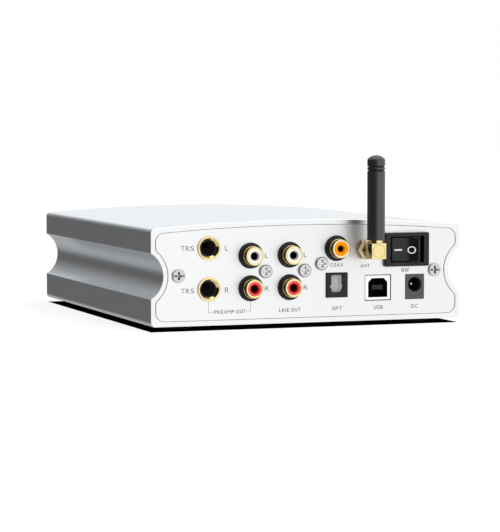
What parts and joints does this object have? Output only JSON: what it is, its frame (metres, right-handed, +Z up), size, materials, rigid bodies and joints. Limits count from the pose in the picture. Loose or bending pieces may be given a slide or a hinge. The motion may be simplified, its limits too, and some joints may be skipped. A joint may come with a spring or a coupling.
{
  "type": "desktop dac",
  "caption": "Desktop digital-to-analogue converter: domed aluminium case with scooped sides, rear audio sockets, rocker switch, screw-on antenna, front volume knob.",
  "frame": {"origin": "on the table plane under the middle of the case footprint", "axes": "+Z up, +Y towards the socket panel (rear), -Y towards the knob and display (front), +X to the right seen from the front"},
  "size_m": [0.145, 0.2034, 0.0754],
  "materials": {
    "case_silver": "bead-blasted, satin silver anodised",
    "panel_silver": "fine satin silver anodised",
    "knob_silver": "turned, satin silver anodised",
    "black_moulding": "fine moulded texture",
    "switch_black": "semi-gloss moulded",
    "inlet_grey": "fine moulded texture",
    "gold_plate": "bright gold plating",
    "contact_brass": "plain",
    "screw_steel": "nickel plated, pressed",
    "white_plastic": "moulded",
    "red_plastic": "moulded",
    "orange_plastic": "moulded",
    "shutter_grey": "moulded",
    "socket_steel": "bright plated sheet",
    "soft_black": "moulded, fine matt",
    "smoked_window": "smoked acrylic",
    "board_green": "solder mask",
    "chip_black": "moulded epoxy",
    "capacitor_sleeve": "shrunk sleeve",
    "relay_white": "moulded",
    "tinned_sheet": "tinned sheet",
    "wire_jacket": "extruded",
    "ribbon_grey": "extruded",
    "lens_clear": "clear moulding"
  },
  "bodies": {
    "chassis": {"antenna_jack": "gold_plate", "antenna_jack_nut": "gold_plate", "antenna_pigtail": "wire_jacket", "bluetooth_module": "board_green", "bluetooth_shield_can": "tinned_sheet", "case_screws": "screw_steel", "case_sleeve": "case_silver", "coax_barrel": "gold_plate", "coax_insert": "orange_plastic", "coax_rca_housing": "black_moulding", "converter_chip": "chip_black", "crystal_oscillators": "tinned_sheet", "dc_jack_contacts": "tinned_sheet", "dc_jack_housing": "inlet_grey", "display_module": "chip_black", "display_window": "smoked_window", "encoder_body": "tinned_sheet", "encoder_nut": "tinned_sheet", "encoder_switch": "black_moulding", "filter_capacitors": "capacitor_sleeve", "front_board": "board_green", "front_board_screws": "screw_steel", "front_panel": "case_silver", "internal_leads": "wire_jacket", "jack_block_screws": "screw_steel", "line_rca_housing": "black_moulding", "logic_chips": "chip_black", "main_board": "board_green", "op_amps": "chip_black", "optical_housing": "black_moulding", "optical_sensor": "lens_clear", "optical_shutter_pin": "screw_steel", "output_relays": "relay_white", "preamp_rca_housing": "black_moulding", "rca_barrels": "gold_plate", "rca_center_contacts": "contact_brass", "rca_inserts_red": "red_plastic", "rca_inserts_white": "white_plastic", "rear_panel": "panel_silver", "ribbon_cable": "ribbon_grey", "rubber_feet": "soft_black", "switch_housing": "switch_black", "switch_terminals": "contact_brass", "trs_jack_contacts": "contact_brass", "trs_jack_ferrules": "gold_plate", "trs_jack_housing": "black_moulding", "usb_contacts": "contact_brass", "usb_insulator": "black_moulding", "usb_shell": "socket_steel", "voltage_regulators": "chip_black"},
    "rocker": {"switch_rocker": "switch_black"},
    "antenna": {"antenna_elbow": "gold_plate", "antenna_element": "gold_plate", "antenna_whip": "soft_black"},
    "coupling_nut": {"antenna_coupling_nut": "gold_plate"},
    "shutter": {"optical_shutter": "shutter_grey"},
    "encoder_rotor": {"encoder_rotor": "black_moulding"},
    "knob": {"volume_knob": "knob_silver", "encoder_shaft": "tinned_sheet"}
  },
  "joints": [
    {"name": "rocker_tilt", "type": "hinge", "parent": "chassis", "child": "rocker", "pos_m": [-0.0461, 0.0831, 0.0333], "axis": [0, 0, 1], "range_deg": [0, 20]},
    {"name": "antenna_swivel", "type": "hinge", "parent": "chassis", "child": "antenna", "pos_m": [-0.0268, 0.0978, 0.0336], "axis": [0, 1, 0], "range_deg": [-130, 130]},
    {"name": "antenna_nut_spin", "type": "hinge", "parent": "chassis", "child": "coupling_nut", "pos_m": [-0.0268, 0.09, 0.0336], "axis": [0, 1, 0], "continuous": true},
    {"name": "shutter_swing", "type": "hinge", "parent": "chassis", "child": "shutter", "pos_m": [-0.01315, 0.0846, 0.0222], "axis": [-1, 0, 0], "range_deg": [0, 80]},
    {"name": "knob_turn", "type": "hinge", "parent": "chassis", "child": "encoder_rotor", "pos_m": [0.046, -0.078, 0.0247], "axis": [0, 1, 0], "continuous": true},
    {"name": "knob_push", "type": "slide", "parent": "encoder_rotor", "child": "knob", "axis": [0, 1, 0], "range_m": [0, 0.0005]}
  ]
}
